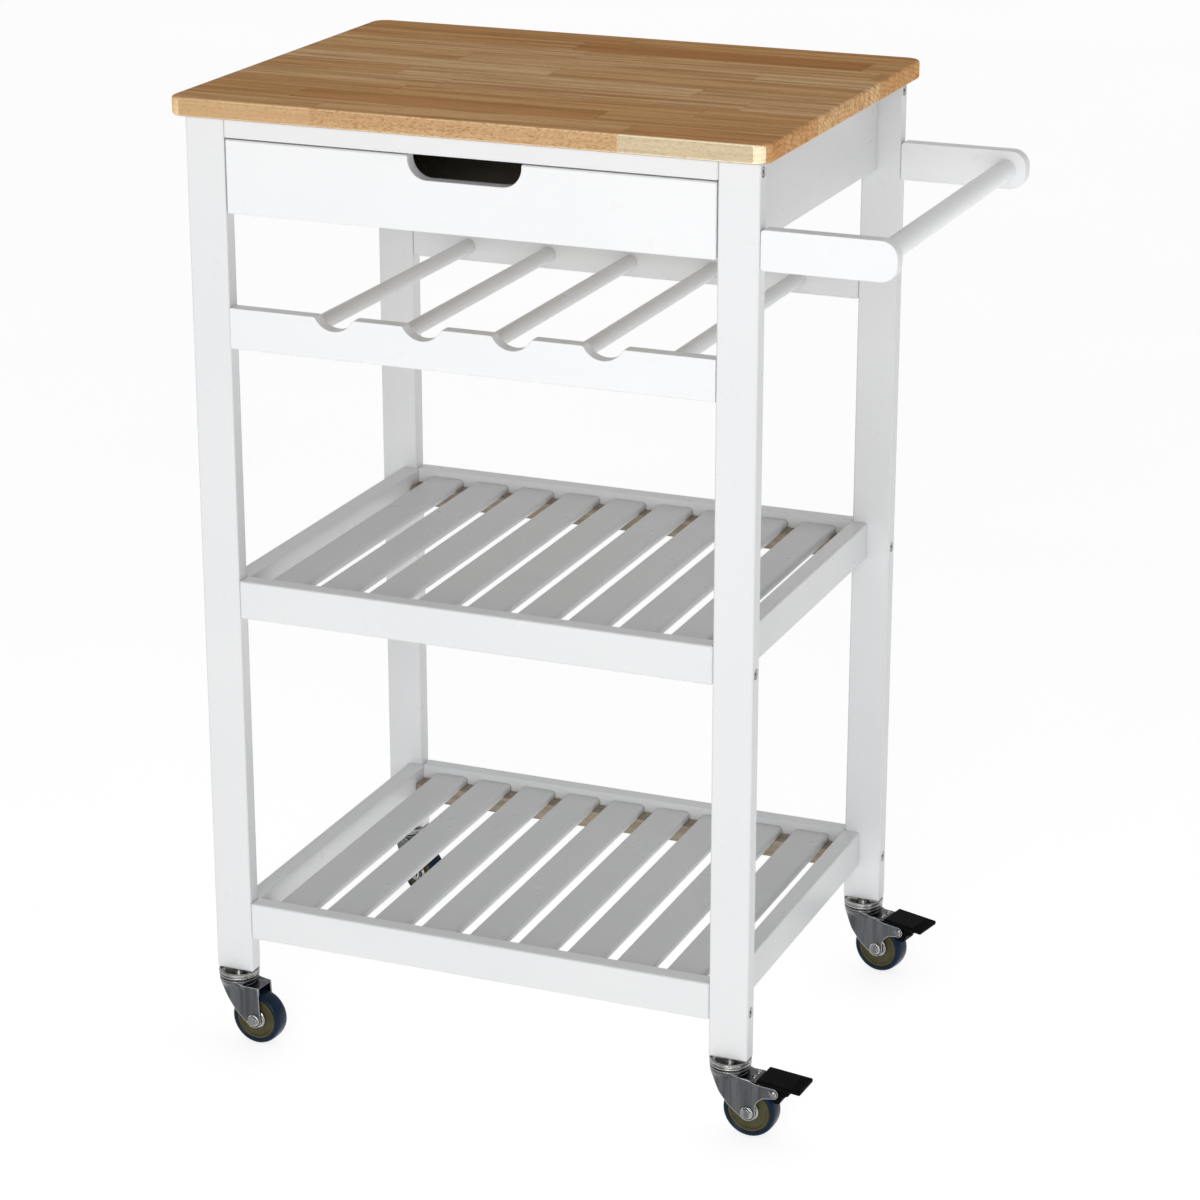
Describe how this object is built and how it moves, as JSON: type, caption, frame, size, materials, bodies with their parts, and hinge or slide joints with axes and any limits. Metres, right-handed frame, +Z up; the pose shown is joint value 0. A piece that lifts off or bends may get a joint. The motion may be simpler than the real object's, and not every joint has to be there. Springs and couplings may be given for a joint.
{
  "type": "kitchen island cart",
  "caption": "Rolling kitchen cart with a butcher-block worktop, pull-out drawer, wine rack, slatted shelves, side towel bar and swivel casters with brakes.",
  "frame": {"origin": "on the floor, at the middle of the whole cart's bounding box", "axes": "+Z up, -Y towards the drawer's front, +X towards the towel bar"},
  "size_m": [0.6266, 0.401, 0.856],
  "materials": {
    "butcher_block": "oiled finger-jointed hardwood, satin",
    "white_painted_wood": "white paint, satin",
    "plywood": "bare plywood",
    "zinc_plated_steel": "bright zinc plate",
    "grey_rubber": "smooth dark blue-grey rubber",
    "olive_plastic": "dull olive",
    "black_plastic": "black, low sheen"
  },
  "bodies": {
    "cart": {"worktop": "butcher_block", "leg_front_left": "white_painted_wood", "leg_front_right": "white_painted_wood", "leg_back_left": "white_painted_wood", "leg_back_right": "white_painted_wood", "front_top_rail": "white_painted_wood", "back_panel": "white_painted_wood", "side_panel_left": "white_painted_wood", "side_panel_right": "white_painted_wood", "runner_left": "white_painted_wood", "runner_right": "white_painted_wood", "wine_rail_front": "white_painted_wood", "wine_rail_back": "white_painted_wood", "wine_rod_1": "white_painted_wood", "wine_rod_2": "white_painted_wood", "wine_rod_3": "white_painted_wood", "wine_rod_4": "white_painted_wood", "wine_rod_5": "white_painted_wood", "mid_shelf_rail_front": "white_painted_wood", "mid_shelf_rail_back": "white_painted_wood", "mid_shelf_rail_left": "white_painted_wood", "mid_shelf_rail_right": "white_painted_wood", "mid_shelf_slats": "white_painted_wood", "bottom_shelf_rail_front": "white_painted_wood", "bottom_shelf_rail_back": "white_painted_wood", "bottom_shelf_rail_left": "white_painted_wood", "bottom_shelf_rail_right": "white_painted_wood", "bottom_shelf_slats": "white_painted_wood", "towel_arm_front": "white_painted_wood", "towel_arm_back": "white_painted_wood", "towel_rod": "white_painted_wood", "caster_fl_stem": "zinc_plated_steel", "caster_fr_stem": "zinc_plated_steel", "caster_bl_stem": "zinc_plated_steel", "caster_br_stem": "zinc_plated_steel"},
    "drawer": {"drawer_front": "white_painted_wood", "drawer_side_left": "white_painted_wood", "drawer_side_right": "white_painted_wood", "drawer_back": "white_painted_wood", "drawer_bottom": "plywood"},
    "swivel_fl": {"caster_fl_fork": "zinc_plated_steel", "caster_fl_axle": "zinc_plated_steel"},
    "wheel_fl": {"caster_fl_tyre": "grey_rubber", "caster_fl_hub": "olive_plastic"},
    "swivel_fr": {"caster_fr_fork": "zinc_plated_steel", "caster_fr_axle": "zinc_plated_steel", "caster_fr_brake_pin": "zinc_plated_steel"},
    "wheel_fr": {"caster_fr_tyre": "grey_rubber", "caster_fr_hub": "olive_plastic"},
    "brake_fr": {"caster_fr_brake_pedal": "black_plastic"},
    "swivel_bl": {"caster_bl_fork": "zinc_plated_steel", "caster_bl_axle": "zinc_plated_steel"},
    "wheel_bl": {"caster_bl_tyre": "grey_rubber", "caster_bl_hub": "olive_plastic"},
    "swivel_br": {"caster_br_fork": "zinc_plated_steel", "caster_br_axle": "zinc_plated_steel", "caster_br_brake_pin": "zinc_plated_steel"},
    "wheel_br": {"caster_br_tyre": "grey_rubber", "caster_br_hub": "olive_plastic"},
    "brake_br": {"caster_br_brake_pedal": "black_plastic"}
  },
  "joints": [
    {"name": "drawer_slide", "type": "slide", "parent": "cart", "child": "drawer", "axis": [0, -1, 0], "range_m": [0, 0.24]},
    {"name": "swivel_fl_turn", "type": "hinge", "parent": "cart", "child": "swivel_fl", "pos_m": [-0.28575, -0.1795, 0.0685], "axis": [0, 0, 1], "continuous": true},
    {"name": "wheel_fl_spin", "type": "hinge", "parent": "swivel_fl", "child": "wheel_fl", "pos_m": [-0.2655, -0.18092, 0.0241], "axis": [0.0698, 0.9976, 0], "continuous": true},
    {"name": "swivel_fr_turn", "type": "hinge", "parent": "cart", "child": "swivel_fr", "pos_m": [0.18325, -0.1795, 0.0685], "axis": [0, 0, 1], "continuous": true},
    {"name": "wheel_fr_spin", "type": "hinge", "parent": "swivel_fr", "child": "wheel_fr", "pos_m": [0.20352, -0.18056, 0.0241], "axis": [0.0523, 0.9986, 0], "continuous": true},
    {"name": "brake_fr_press", "type": "hinge", "parent": "swivel_fr", "child": "brake_fr", "pos_m": [0.22669, -0.18178, 0.0465], "axis": [0.0523, 0.9986, 0], "range_deg": [0, 10]},
    {"name": "swivel_bl_turn", "type": "hinge", "parent": "cart", "child": "swivel_bl", "pos_m": [-0.28575, 0.1795, 0.0685], "axis": [0, 0, 1], "continuous": true},
    {"name": "wheel_bl_spin", "type": "hinge", "parent": "swivel_bl", "child": "wheel_bl", "pos_m": [-0.26735, 0.17092, 0.0241], "axis": [0.4226, 0.9063, 0], "continuous": true},
    {"name": "swivel_br_turn", "type": "hinge", "parent": "cart", "child": "swivel_br", "pos_m": [0.18325, 0.1795, 0.0685], "axis": [0, 0, 1], "continuous": true},
    {"name": "wheel_br_spin", "type": "hinge", "parent": "swivel_br", "child": "wheel_br", "pos_m": [0.20311, 0.17528, 0.0241], "axis": [0.2079, 0.9781, 0], "continuous": true},
    {"name": "brake_br_press", "type": "hinge", "parent": "swivel_br", "child": "brake_br", "pos_m": [0.2258, 0.17046, 0.0465], "axis": [0.2079, 0.9781, 0], "range_deg": [0, 10]}
  ]
}
